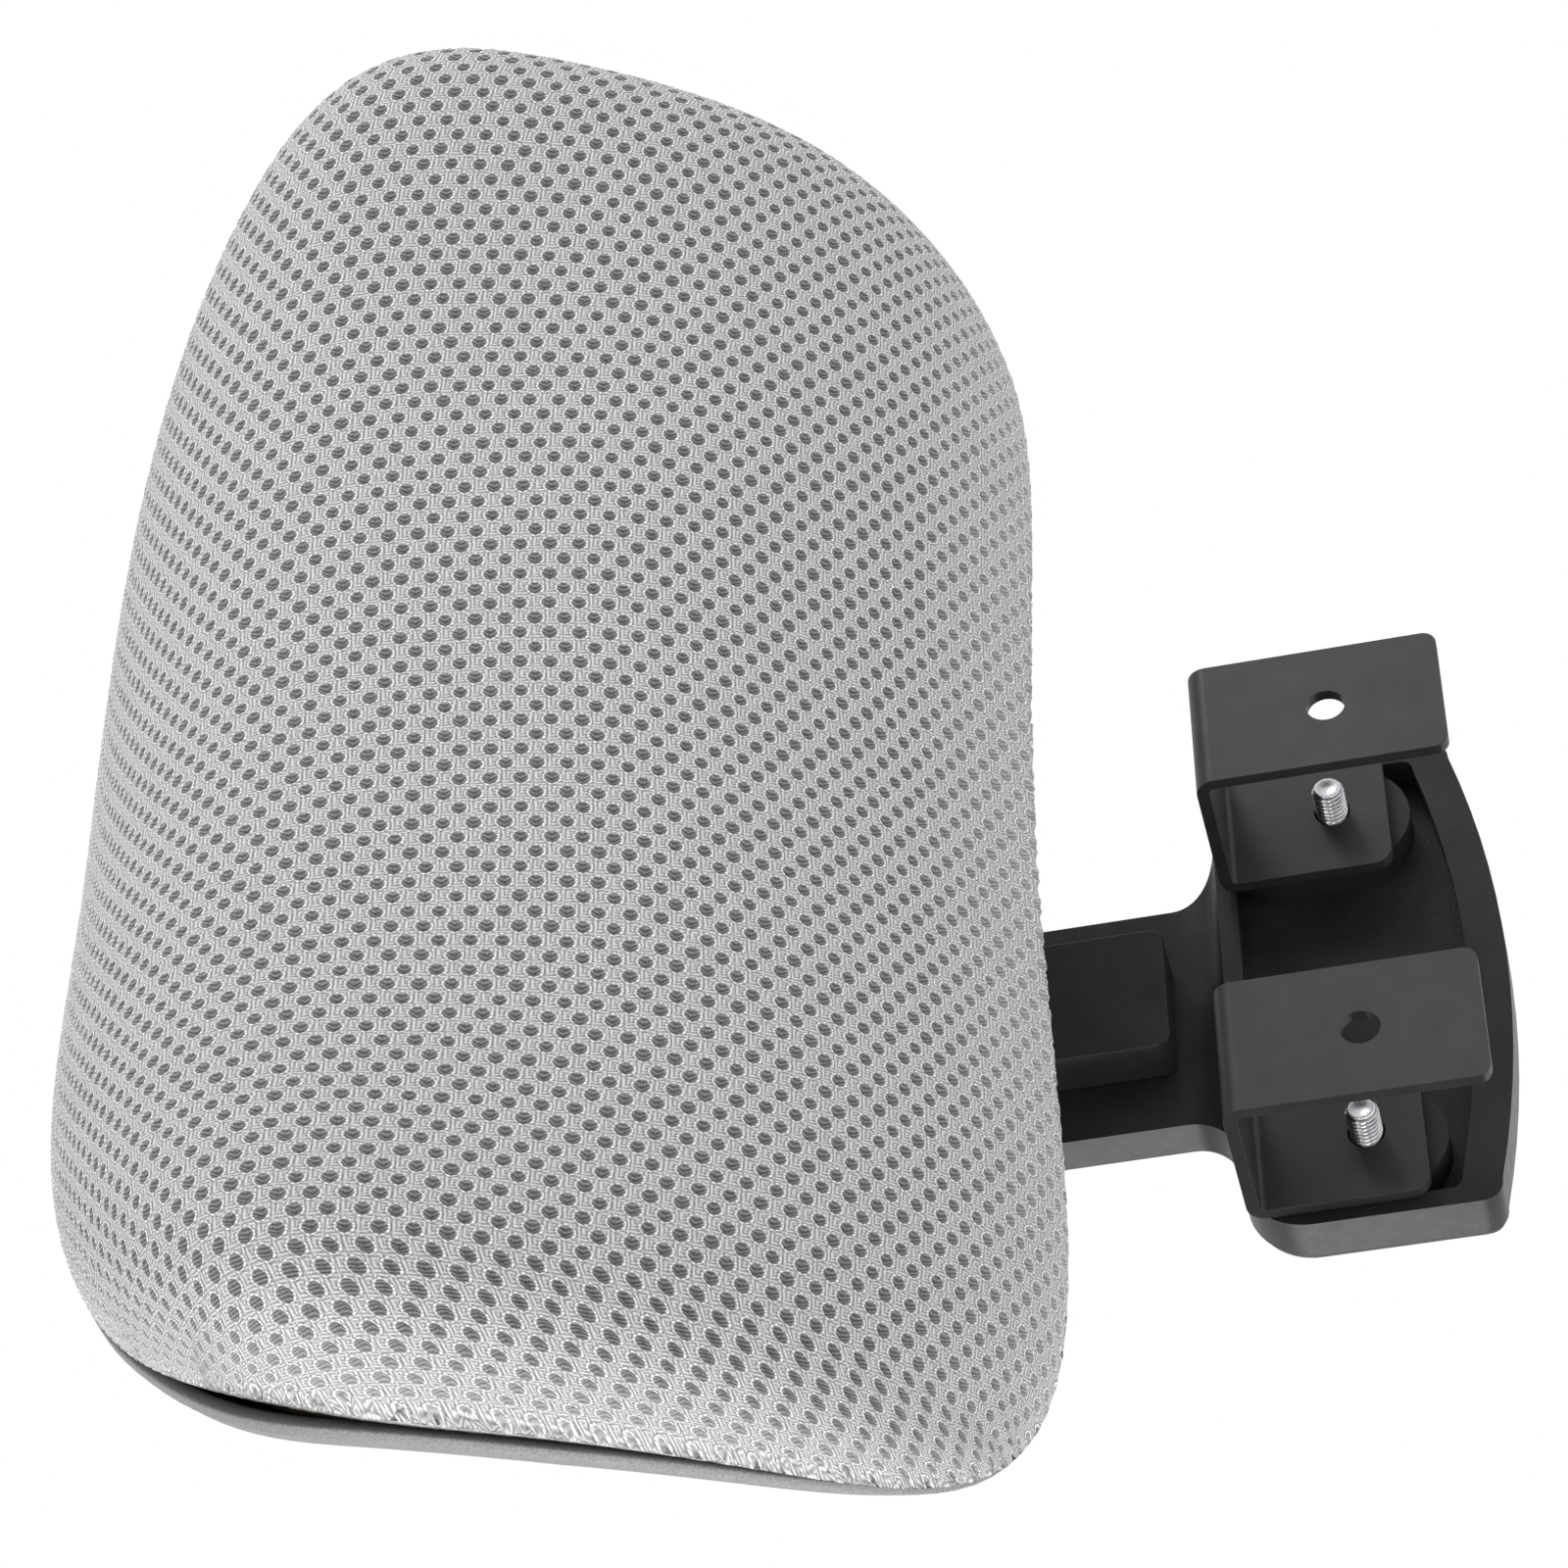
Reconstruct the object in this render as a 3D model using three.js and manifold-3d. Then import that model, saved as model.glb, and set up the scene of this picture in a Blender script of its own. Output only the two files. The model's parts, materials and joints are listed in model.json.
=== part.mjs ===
// Clamp-on headrest for an office chair: a crescent pad on a plastic shell, a tilt hinge, a height slider
// and a T bracket with two steel clips that hook over the top edge of the chair back.
// Millimetres. +Z is up, -Y is the side the sitter's head rests on, +X runs across the chair.
// The origin is where the chair back's top rear edge seats: midway between the clips, under their
// webs (z = 0) and against the front of their rear flanges (y = 0).
import * as THREE from 'three';
import { mergeVertices } from 'three/addons/utils/BufferGeometryUtils.js';
import Module from 'manifold-3d';

const wasm = await Module();
wasm.setup();

// ---- driving dimensions ----
const gap = 0.3; // air left between pieces that touch
const roundSides = 24; // facets round a bolt, boss or hole

// clips
const steel = 2.3; // strip thickness
const clipX = 37.5; // half the spacing between the clips
const clipWidth = 28;
const clipDepth = 31.2; // over both flanges
const rearFlange = 32; // below the top of the web
const frontFlange = 46;
const bendRadius = 3.5; // outside
const sightHoleRadius = 3.5; // hole in the front flange
const sightHoleZ = -22.6;

// clamp screws, M6
const screwZ = -19.6;
const shankRadius = 2.9;
const boreRadius = 3.2;
const tipY = -6.8;
const headSeatY = 17.2; // underside of the head at rest
const capHeadRadius = 5;
const capHeadHeight = 6;
const nutAcrossFlats = 10;
const nutThickness = 5;

// T bracket and arm
const rimY = 3; // front of the tray's rim
const teeBackY = 15;
const trayFloorY = 9;
const rimWidth = 3.6;
const lowRimWidth = 7;
const teeHalfLength = 53.5;
const teeTopZ = 3.4;
const teeCornerZ = -41.9;
const teeApexZ = -47.7;
const teeLowCorner = 4.5;
const teeHighCorner = 12;
const teeBackSoftness = 3;
const bossWidth = 24;
const bossFrontY = steel + gap;
const bossEndZ = -33.7;
const armHalfWidth = 25;
const armFrontY = 7;
const armBackY = 16;
const armTopZ = 122;
const armFilletX = 12; // where the arm runs out into the T
const armFilletZ = 9;
const armBackSoftness = 1.5;
const slotHalfWidth = 3.3;

// height slider
const barHalfWidth = 13.5;
const barFrontY = -2.5;
const barLowZ = 13.3;
const barTopZ = 127;
const slideScrewZ = [40, 64];
const slideTravel = 45;
const slideScrewRadius = 2.4;
const keeperThickness = 2.2;

// tilt hinge
const hingeY = -12.5;
const hingeZ = 108;
const lugHalfWidth = 6;
const lugRadius = 7.5;
const washerThickness = 1.2;
const earThickness = 3;
const plateFrontY = -20.6;
const plateThickness = 2.5;
const plateHalfWidth = 28;
const plateHalfHeight = 22;
const hingeScrewX = 21;
const hingeScrewZ = 15;
const hingeScrewRadius = 1.9;

// pad
const padHalfWidth = 147.5;
const padHalfHeight = 87.9;
const padCentreZ = 115.1;
const padDroop = 22.2; // how far the ends sit below the middle
const padTaper = 0.142; // share of the height lost at the ends
const padTopSquareness = 3.3; // 2 is an ellipse
const padBottomSquareness = 4.4;
const padCentreY = -37.3; // rim plane at the middle
const wingReach = 55.4; // how far the ends curve forward
const wingPower = 1.96;
const rimBow = 12.9; // how far the rim's top and bottom edges curve forward
const topWingReach = 37.2; // how much further the ends' top corners come forward
const wingStraightness = 29; // how much of the rim's bow the ends lose
const depthMiddle = 79.2; // cushion depth in front of the rim
const depthWaist = 26.5; // lost between the middle and the ends
const depthWing = 24; // regained at the ends
const fullnessMiddle = 3.2; // how far out the cushion's face stays flat
const fullnessEnd = 3.9;
const edgeSoftness = 1.03; // 1 slopes straight to the rim, 2 rounds over it
const edgeSoftnessEnd = 2.34;
const topFullness = 0.24; // share of depth the cushion gains towards its top
const faceCrown = 0.24; // share of depth it loses at its top and bottom
const shellBulge = 10;
const shellRim = 3.5;
const shellThickness = 2.5;
const boardThickness = 3;
const coverThickness = 3;
const coverStandOff = 0.6; // between the cover's hem and the shell's lip
const aroundPad = 48;

// ---- solids ----
function solidOf(geometry) {
  const bare = geometry.index ? geometry.toNonIndexed() : geometry.clone();
  bare.deleteAttribute('normal');
  bare.deleteAttribute('uv');
  const merged = mergeVertices(bare, 1e-4);
  const mesh = new wasm.Mesh({
    numProp: 3,
    vertProperties: new Float32Array(merged.attributes.position.array),
    triVerts: new Uint32Array(merged.index.array),
  });
  return new wasm.Manifold(mesh);
}

function geometryOf(solid) {
  const mesh = solid.getMesh();
  const geometry = new THREE.BufferGeometry();
  geometry.setAttribute('position', new THREE.BufferAttribute(new Float32Array(mesh.vertProperties), 3));
  geometry.setIndex(new THREE.BufferAttribute(new Uint32Array(mesh.triVerts), 1));
  geometry.computeVertexNormals();
  return geometry;
}

// the outline as straight steps, with no two points in one place
function stepped(outline, curveSegments) {
  const points = outline.getPoints(curveSegments);
  const kept = points.filter((point, i) => point.distanceTo(points.at(i - 1)) > 1e-3);
  return new THREE.Shape(kept);
}

// a plate whose outline is drawn in X and Z, from yFront back to yBack
function plate(outline, yFront, yBack, curveSegments = 7) {
  const depth = yBack - yFront;
  const geometry = new THREE.ExtrudeGeometry(stepped(outline, curveSegments), { depth, bevelEnabled: false });
  geometry.rotateX(Math.PI / 2);
  geometry.translate(0, yBack, 0);
  return solidOf(geometry);
}

// the same plate with its back edge rounded
function plateWithSoftBack(outline, yFront, yBack, softness, curveSegments = 7) {
  const geometry = new THREE.ExtrudeGeometry(stepped(outline, curveSegments), {
    depth: yBack - yFront,
    bevelThickness: softness,
    bevelSize: softness,
    bevelOffset: -softness,
    bevelSegments: 2,
  });
  geometry.rotateX(Math.PI / 2);
  geometry.translate(0, yBack - softness, 0);
  const keep = boxBetween([-400, yFront, -400], [400, yBack + 1, 400]);
  return solidOf(geometry).intersect(keep);
}

// a bar whose section is drawn in Y and Z, from xLow to xHigh
function bar(section, xLow, xHigh, curveSegments = 8) {
  const depth = xHigh - xLow;
  const geometry = new THREE.ExtrudeGeometry(stepped(section, curveSegments), { depth, bevelEnabled: false });
  const basis = new THREE.Matrix4().makeBasis(
    new THREE.Vector3(0, 1, 0),
    new THREE.Vector3(0, 0, 1),
    new THREE.Vector3(1, 0, 0),
  );
  geometry.applyMatrix4(basis);
  geometry.translate(xLow, 0, 0);
  return solidOf(geometry);
}

function boxBetween(low, high) {
  const size = low.map((value, i) => high[i] - value);
  const geometry = new THREE.BoxGeometry(...size);
  geometry.translate(...low.map((value, i) => (value + high[i]) / 2));
  return solidOf(geometry);
}

function rodAlongY(x, z, radius, yLow, yHigh, sides = roundSides) {
  const geometry = new THREE.CylinderGeometry(radius, radius, yHigh - yLow, sides);
  geometry.translate(x, (yLow + yHigh) / 2, z);
  return solidOf(geometry);
}

function rodAlongX(y, z, radius, xLow, xHigh, sides = roundSides) {
  const geometry = new THREE.CylinderGeometry(radius, radius, xHigh - xLow, sides);
  geometry.rotateZ(Math.PI / 2);
  geometry.translate((xLow + xHigh) / 2, y, z);
  return solidOf(geometry);
}

// a round piece turned about Y: the profile lists radius and y from front to back
function turnedAlongY(x, z, profile, sides = roundSides) {
  const points = profile.map(([radius, y]) => new THREE.Vector2(radius, y));
  const geometry = new THREE.LatheGeometry(points, sides);
  geometry.translate(x, 0, z);
  return solidOf(geometry);
}

function roundedRectangle(xLow, zLow, xHigh, zHigh, radius) {
  const shape = new THREE.Shape();
  shape.moveTo(xLow + radius, zLow);
  shape.lineTo(xHigh - radius, zLow);
  shape.absarc(xHigh - radius, zLow + radius, radius, -Math.PI / 2, 0);
  shape.lineTo(xHigh, zHigh - radius);
  shape.absarc(xHigh - radius, zHigh - radius, radius, 0, Math.PI / 2);
  shape.lineTo(xLow + radius, zHigh);
  shape.absarc(xLow + radius, zHigh - radius, radius, Math.PI / 2, Math.PI);
  shape.lineTo(xLow, zLow + radius);
  shape.absarc(xLow + radius, zLow + radius, radius, Math.PI, 1.5 * Math.PI);
  return shape;
}

function stadium(x, zLow, zHigh, halfWidth) {
  const shape = new THREE.Shape();
  shape.absarc(x, zHigh - halfWidth, halfWidth, 0, Math.PI);
  shape.absarc(x, zLow + halfWidth, halfWidth, Math.PI, 2 * Math.PI);
  return shape;
}

// ---- T bracket ----
function bottomArc() {
  const run = teeHalfLength - teeLowCorner;
  const rise = teeCornerZ - teeApexZ;
  const radius = (run * run + rise * rise) / (2 * rise);
  return { radius, centreZ: teeApexZ + radius };
}

// the T's outline, drawn in by inset all round and by lowInset along its bottom
function teeOutline(inset, lowInset) {
  const { radius, centreZ } = bottomArc();
  const half = teeHalfLength - inset;
  const low = teeLowCorner - inset / 2;
  const high = teeHighCorner - inset / 2;
  const top = teeTopZ - inset;
  const arc = radius - lowInset;
  const sweep = Math.asin((half - low) / arc);
  const cornerZ = centreZ - arc * Math.cos(sweep);
  const shape = new THREE.Shape();
  shape.absarc(0, centreZ, arc, -Math.PI / 2 - sweep, -Math.PI / 2 + sweep);
  shape.quadraticCurveTo(half, cornerZ, half, cornerZ + low);
  shape.lineTo(half, top - high);
  shape.absarc(half - high, top - high, high, 0, Math.PI / 2);
  shape.lineTo(high - half, top);
  shape.absarc(high - half, top - high, high, Math.PI / 2, Math.PI);
  shape.lineTo(-half, cornerZ + low);
  shape.quadraticCurveTo(-half, cornerZ, low - half, cornerZ);
  return shape;
}

function armOutline() {
  const foot = armHalfWidth + armFilletX;
  const top = 10;
  const shape = new THREE.Shape();
  shape.moveTo(-foot, teeTopZ - 12);
  shape.lineTo(foot, teeTopZ - 12);
  shape.lineTo(foot, teeTopZ);
  shape.absellipse(foot, teeTopZ + armFilletZ, armFilletX, armFilletZ, -Math.PI / 2, -Math.PI, true, 0);
  shape.lineTo(armHalfWidth, armTopZ - top);
  shape.absarc(armHalfWidth - top, armTopZ - top, top, 0, Math.PI / 2);
  shape.lineTo(top - armHalfWidth, armTopZ);
  shape.absarc(top - armHalfWidth, armTopZ - top, top, Math.PI / 2, Math.PI);
  shape.lineTo(-armHalfWidth, teeTopZ + armFilletZ);
  shape.absellipse(-foot, teeTopZ + armFilletZ, armFilletX, armFilletZ, 0, -Math.PI / 2, true, 0);
  return shape;
}

// the concave ramp where the arm's front face runs out into the tray's rim
function rampSection() {
  const section = new THREE.Shape();
  section.moveTo(armFrontY + 2, teeTopZ - rimWidth);
  section.lineTo(armFrontY + 2, teeTopZ + 9);
  section.lineTo(armFrontY, teeTopZ + 9);
  section.quadraticCurveTo(armFrontY, teeTopZ + 2, rimY, teeTopZ);
  section.lineTo(rimY, teeTopZ - rimWidth);
  return section;
}

function hexPrism(x, z, acrossFlats, yLow, yHigh) {
  return rodAlongY(x, z, acrossFlats / Math.sqrt(3), yLow, yHigh, 6);
}

function tBracket() {
  const tray = plate(teeOutline(rimWidth, lowRimWidth), rimY - 1, trayFloorY);
  let body = plateWithSoftBack(teeOutline(0, 0), rimY, teeBackY, teeBackSoftness);
  body = body.add(plateWithSoftBack(armOutline(), armFrontY, armBackY, armBackSoftness)).subtract(tray);
  const ramp = bar(rampSection(), -armHalfWidth - armFilletX, armHalfWidth + armFilletX);
  body = body.add(ramp.intersect(plate(armOutline(), rimY, armBackY)));
  for (const x of [-clipX, clipX]) {
    body = body.add(plate(stadium(x, bossEndZ, teeTopZ - 1, bossWidth / 2), bossFrontY, trayFloorY + 1));
    body = body.subtract(rodAlongY(x, screwZ, boreRadius, 0, armBackY + 1));
    body = body.subtract(rodAlongY(x, screwZ, capHeadRadius + 1, trayFloorY + 1, armBackY + 1));
    const nutPocket = hexPrism(x, screwZ, nutAcrossFlats + 2 * gap, 0, bossFrontY + nutThickness + 2 * gap);
    body = body.subtract(nutPocket);
  }
  const slotLow = slideScrewZ[0] - slotHalfWidth;
  const slotHigh = slideScrewZ[1] + slideTravel + slotHalfWidth;
  return body.subtract(plate(stadium(0, slotLow, slotHigh, slotHalfWidth), 0, armBackY + 1));
}

// ---- clips and clamp screws ----
function clipSection() {
  const back = steel;
  const front = steel - clipDepth;
  const inner = bendRadius - steel;
  const section = new THREE.Shape();
  section.moveTo(back, steel - rearFlange);
  section.lineTo(back, steel - bendRadius);
  section.absarc(back - bendRadius, steel - bendRadius, bendRadius, 0, Math.PI / 2);
  section.lineTo(front + bendRadius, steel);
  section.absarc(front + bendRadius, steel - bendRadius, bendRadius, Math.PI / 2, Math.PI);
  section.lineTo(front, steel - frontFlange);
  section.lineTo(front + steel, steel - frontFlange);
  section.lineTo(front + steel, steel - bendRadius);
  section.absarc(front + bendRadius, steel - bendRadius, inner, Math.PI, Math.PI / 2, true);
  section.lineTo(back - bendRadius, 0);
  section.absarc(back - bendRadius, steel - bendRadius, inner, Math.PI / 2, 0, true);
  section.lineTo(0, steel - rearFlange);
  return section;
}

function clip(x) {
  const half = clipWidth / 2;
  const strip = bar(clipSection(), x - half, x + half, 5);
  const split = -clipDepth / 2;
  const cornerFront = roundedRectangle(x - half, steel - frontFlange, x + half, 20, 2.6);
  const cornerRear = roundedRectangle(x - half, steel - rearFlange, x + half, 20, 3.5);
  const front = plate(cornerFront, -clipDepth - 1, split, 5);
  const rear = plate(cornerRear, split, steel + 1, 5);
  return strip
    .intersect(front.add(rear))
    .subtract(rodAlongY(x, screwZ, boreRadius + 0.1, -2, steel + 1))
    .subtract(rodAlongY(x, sightHoleZ, sightHoleRadius, -clipDepth - 1, split));
}

function clampScrew(x) {
  const chamfer = 0.7;
  const headTop = headSeatY + capHeadHeight;
  const body = turnedAlongY(x, screwZ, [
    [0, tipY],
    [shankRadius - chamfer, tipY],
    [shankRadius, tipY + chamfer],
    [shankRadius, headSeatY],
    [capHeadRadius, headSeatY],
    [capHeadRadius, headTop - 0.5],
    [capHeadRadius - 0.5, headTop],
    [0, headTop],
  ]);
  return body.subtract(hexPrism(x, screwZ, 5, headTop - 3, headTop + 1));
}

function captiveNut(x) {
  const low = bossFrontY + gap;
  return hexPrism(x, screwZ, nutAcrossFlats, low, low + nutThickness)
    .subtract(rodAlongY(x, screwZ, boreRadius, low - 1, low + nutThickness + 1));
}

// ---- height slider ----
function lugSection() {
  const reach = lugRadius * 1.9;
  const section = new THREE.Shape();
  section.moveTo(barFrontY + 0.5, hingeZ - reach);
  section.lineTo(barFrontY + 0.5, hingeZ + reach);
  section.lineTo(barFrontY, hingeZ + reach);
  section.lineTo(hingeY + lugRadius * 0.3, hingeZ + lugRadius * 0.954);
  section.absarc(hingeY, hingeZ, lugRadius, 1.266, 2 * Math.PI - 1.266);
  section.lineTo(barFrontY, hingeZ - reach);
  return section;
}

function sliderBar() {
  const outline = roundedRectangle(-barHalfWidth, barLowZ, barHalfWidth, barTopZ, 2.5);
  let body = plate(outline, barFrontY, armFrontY - gap, 5);
  body = body.add(bar(lugSection(), -lugHalfWidth, lugHalfWidth, 14));
  body = body.subtract(rodAlongX(hingeY, hingeZ, boreRadius, -20, 20));
  for (const z of slideScrewZ) {
    body = body.subtract(rodAlongY(0, z, slideScrewRadius + gap, 0.4, armFrontY, 20));
  }
  return body;
}

const keeperY = armBackY + gap;
const slideWasherY = keeperY + keeperThickness + gap;
const slideHeadY = slideWasherY + 1 + gap;

function keeperPlate() {
  let body = plate(roundedRectangle(-12, 29, 12, 75, 4), keeperY, keeperY + keeperThickness, 5);
  for (const z of slideScrewZ) {
    body = body.subtract(rodAlongY(0, z, slideScrewRadius + gap, 0, 40, 20));
  }
  return body;
}

function slideWasher(z) {
  return rodAlongY(0, z, 5.5, slideWasherY, slideWasherY + 1, 24)
    .subtract(rodAlongY(0, z, slideScrewRadius + gap, 0, 40, 20));
}

function slideScrew(z) {
  const body = turnedAlongY(0, z, [
    [0, 1.2],
    [slideScrewRadius - 0.5, 1.2],
    [slideScrewRadius, 1.7],
    [slideScrewRadius, slideHeadY],
    [4.5, slideHeadY],
    [4.2, slideHeadY + 1.6],
    [2.6, slideHeadY + 2.5],
    [0, slideHeadY + 2.5],
  ], 20);
  const slot = boxBetween([-5, slideHeadY + 1.4, z - 0.6], [5, slideHeadY + 4, z + 0.6]);
  const crossSlot = boxBetween([-0.6, slideHeadY + 1.4, z - 5], [0.6, slideHeadY + 4, z + 5]);
  const reach = rodAlongY(0, z, 2.4, slideHeadY, slideHeadY + 5, 20);
  return body.subtract(slot.add(crossSlot).intersect(reach));
}

// ---- tilt hinge ----
const earLowX = lugHalfWidth + gap + washerThickness + gap;
const earHighX = earLowX + earThickness;
const springWasherX = earHighX + gap;
const hingeNutX = springWasherX + washerThickness + gap;

function earSection() {
  const root = plateFrontY - 0.5;
  const section = new THREE.Shape();
  section.moveTo(root, hingeZ + 16);
  section.lineTo(root, hingeZ - 16);
  section.lineTo(plateFrontY, hingeZ - 16);
  section.lineTo(hingeY, hingeZ - lugRadius);
  section.absarc(hingeY, hingeZ, lugRadius, -Math.PI / 2, Math.PI / 2);
  section.lineTo(plateFrontY, hingeZ + 16);
  return section;
}

function hingeScrewPlaces() {
  const places = [];
  for (const z of [hingeZ - hingeScrewZ, hingeZ + hingeScrewZ]) {
    for (const x of [-hingeScrewX, hingeScrewX]) {
      places.push([x, z]);
    }
  }
  return places;
}

function drillForHingeScrews(solid) {
  let drilled = solid;
  for (const [x, z] of hingeScrewPlaces()) {
    drilled = drilled.subtract(rodAlongY(x, z, hingeScrewRadius + gap, -60, 0, 16));
  }
  return drilled;
}

function hingeBracket() {
  const outline = roundedRectangle(
    -plateHalfWidth, hingeZ - plateHalfHeight, plateHalfWidth, hingeZ + plateHalfHeight, 5);
  let body = plate(outline, plateFrontY - plateThickness, plateFrontY, 5);
  for (const side of [-1, 1]) {
    const near = side > 0 ? earLowX : -earHighX;
    body = body.add(bar(earSection(), near, near + earThickness, 10));
  }
  body = body.subtract(rodAlongX(hingeY, hingeZ, boreRadius, -30, 30));
  return drillForHingeScrews(body);
}

function washerAlongX(xLow, thickness, radius) {
  return rodAlongX(hingeY, hingeZ, radius, xLow, xLow + thickness, 24)
    .subtract(rodAlongX(hingeY, hingeZ, boreRadius, xLow - 1, xLow + thickness + 1));
}

function hingePin() {
  const headEnd = -earHighX - gap;
  return rodAlongX(hingeY, hingeZ, shankRadius, headEnd - 1, hingeNutX + nutThickness + 1.5)
    .add(rodAlongX(hingeY, hingeZ, 5.2, headEnd - 3.4, headEnd))
    .subtract(rodAlongX(hingeY, hingeZ, 2.3, headEnd - 5, headEnd - 1.6, 6));
}

function hingeNut() {
  return rodAlongX(hingeY, hingeZ, nutAcrossFlats / Math.sqrt(3), hingeNutX, hingeNutX + nutThickness, 6)
    .subtract(rodAlongX(hingeY, hingeZ, boreRadius, hingeNutX - 1, hingeNutX + nutThickness + 1));
}

function hingeScrew(x, z) {
  const seat = plateFrontY + gap;
  return turnedAlongY(x, z, [
    [0, seat - 9],
    [hingeScrewRadius, seat - 9],
    [hingeScrewRadius, seat],
    [3.6, seat],
    [3.3, seat + 1.4],
    [1.8, seat + 2.2],
    [0, seat + 2.2],
  ], 16);
}

// ---- pad ----
function mix(low, high, share) {
  return low + (high - low) * share;
}

// A point of the pad's outline at this angle, drawn in by reach: 0 is the middle and 1 the rim.
function padPlace(angle, reach) {
  const c = Math.cos(angle);
  const s = Math.sin(angle);
  const squareness = mix(padBottomSquareness, padTopSquareness, 0.5 + 0.5 * Math.tanh(4 * s));
  const k = (Math.abs(c) ** squareness + Math.abs(s) ** squareness) ** (-1 / squareness);
  const x = padHalfWidth * k * c * reach;
  const up = k * s * reach;
  const out = Math.abs(x / padHalfWidth);
  const z = padCentreZ - padDroop * out ** 2 + padHalfHeight * (1 - padTaper * out ** 2) * up;
  const bow = rimBow * up ** 2 + (topWingReach * up - wingStraightness * up ** 2) * out ** 2;
  const rim = padCentreY - wingReach * out ** wingPower - bow;
  return { x, z, up, out, rim };
}

function cushionDepth(angle, share, reach, less) {
  const { up, out } = padPlace(angle, reach);
  const fullness = mix(fullnessMiddle, fullnessEnd, out ** 2);
  const crown = (1 - share ** fullness) ** (1 / mix(edgeSoftness, edgeSoftnessEnd, out ** 2));
  const lean = 1 + topFullness * up - faceCrown * up ** 2;
  return (depthMiddle - depthWaist * out ** 2 + depthWing * out ** 4 - less) * crown * lean;
}

function shellDepth(share) {
  return shellRim + shellBulge * Math.sqrt(1 - share ** 4);
}

// a closed solid through rings, each with its reach and, by angle, its distance behind the rim plane;
// the first and last ring are single points at the middle, and the diagonals run the same way in
// every layer so that neighbouring layers stay parallel
function padSolid(rings) {
  const positions = [];
  const index = [];
  for (const ring of rings) {
    const count = ring.reach === 0 ? 1 : aroundPad;
    for (let i = 0; i < count; i += 1) {
      const angle = (2 * Math.PI * i) / aroundPad;
      const { x, z, rim } = padPlace(angle, ring.reach);
      positions.push(x, rim + ring.behind(angle), z);
    }
  }
  let start = 0;
  for (let r = 0; r + 1 < rings.length; r += 1) {
    const inner = rings[r].reach === 0 ? 1 : aroundPad;
    const outer = rings[r + 1].reach === 0 ? 1 : aroundPad;
    for (let i = 0; i < aroundPad; i += 1) {
      const next = (i + 1) % aroundPad;
      const a = start + (i % inner);
      const b = start + (next % inner);
      const c = start + inner + (i % outer);
      const d = start + inner + (next % outer);
      if (inner === 1) {
        index.push(b, c, d);
      } else if (outer === 1) {
        index.push(a, c, b);
      } else if (rings[r].reach < rings[r + 1].reach) {
        index.push(a, c, b, b, c, d);
      } else {
        index.push(a, c, d, a, d, b);
      }
    }
    start += inner;
  }
  const geometry = new THREE.BufferGeometry();
  geometry.setAttribute('position', new THREE.Float32BufferAttribute(positions, 3));
  geometry.setIndex(index);
  return solidOf(geometry);
}

const shares = [0, 0.25, 0.47, 0.66, 0.8, 0.9, 0.96, 0.99, 1];
const backShares = [0, 0.25, 0.5, 0.7, 0.85];

// rings over the cushion's front, from the middle out
function frontRings(scale, less, lift) {
  return shares.map((share) => ({
    reach: share * scale,
    behind: (angle) => -lift - cushionDepth(angle, share, share * scale, less),
  }));
}

// rings over a face that follows the shell's curve, ending at this reach
function backRings(edge, offset) {
  return [...backShares, edge].map((share) => ({
    reach: share,
    behind: () => shellDepth(share) - offset,
  }));
}

function meshCover() {
  const outside = frontRings(1, 0, coverStandOff);
  const inside = frontRings(0.945, coverThickness, coverStandOff).reverse();
  return padSolid([...outside, ...inside]);
}

function foamCore() {
  const back = backRings(0.92, shellThickness + boardThickness + 2 * gap).reverse();
  return padSolid([...frontRings(0.92, coverThickness + 2 * gap, 0), ...back]);
}

function supportBoard() {
  const front = backRings(0.93, shellThickness + boardThickness + gap);
  const back = backRings(0.93, shellThickness + gap).reverse();
  return drillForHingeScrews(padSolid([...front, ...back]));
}

function backShell() {
  const inside = backRings(0.93, shellThickness);
  const lip = [{ reach: 0.975, behind: () => 0 }, { reach: 1, behind: () => 0 }];
  const outside = backRings(1, 0).reverse();
  outside.splice(1, 0, { reach: 0.95, behind: () => shellDepth(0.95) });
  const seat = plate(
    roundedRectangle(
      -plateHalfWidth - 2, hingeZ - plateHalfHeight - 2, plateHalfWidth + 2, hingeZ + plateHalfHeight + 2, 6),
    -26,
    plateFrontY - plateThickness - gap,
    5,
  );
  const blank = boxBetween([-60, -60, 40], [60, 0, 180]);
  const cavity = padSolid([...inside, { reach: 0, behind: () => -20 }]);
  const dish = padSolid([...inside, ...lip, ...outside]);
  return drillForHingeScrews(dish.add(seat.subtract(cavity.intersect(blank))));
}

// ---- the assembly ----
const blackPlastic = { color: 0x1d1d1f, roughness: 0.45, metalness: 0 };
const blackPaint = { color: 0x2b2b2d, roughness: 0.4, metalness: 0.3 };
const zinc = { color: 0xc9ccd0, roughness: 0.3, metalness: 1 };
const greyPlastic = { color: 0x8f9092, roughness: 0.6, metalness: 0 };
const nylon = { color: 0xe6e4dc, roughness: 0.5, metalness: 0 };
const fibreboard = { color: 0x6b5a45, roughness: 0.8, metalness: 0 };
const foam = { color: 0xd9d3b8, roughness: 0.95, metalness: 0 };
const meshFabric = { color: 0xbfbfbf, roughness: 0.9, metalness: 0 };

const group = new THREE.Group();

function addPart(name, solid, look) {
  const mesh = new THREE.Mesh(geometryOf(solid), new THREE.MeshStandardMaterial(look));
  mesh.name = name;
  group.add(mesh);
}

addPart('t_bracket', tBracket(), blackPlastic);
for (const [side, x] of [['left', clipX], ['right', -clipX]]) {
  addPart(`${side}_clip`, clip(x), blackPaint);
  addPart(`${side}_clamp_screw`, clampScrew(x), zinc);
  addPart(`${side}_captive_nut`, captiveNut(x), zinc);
}

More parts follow.
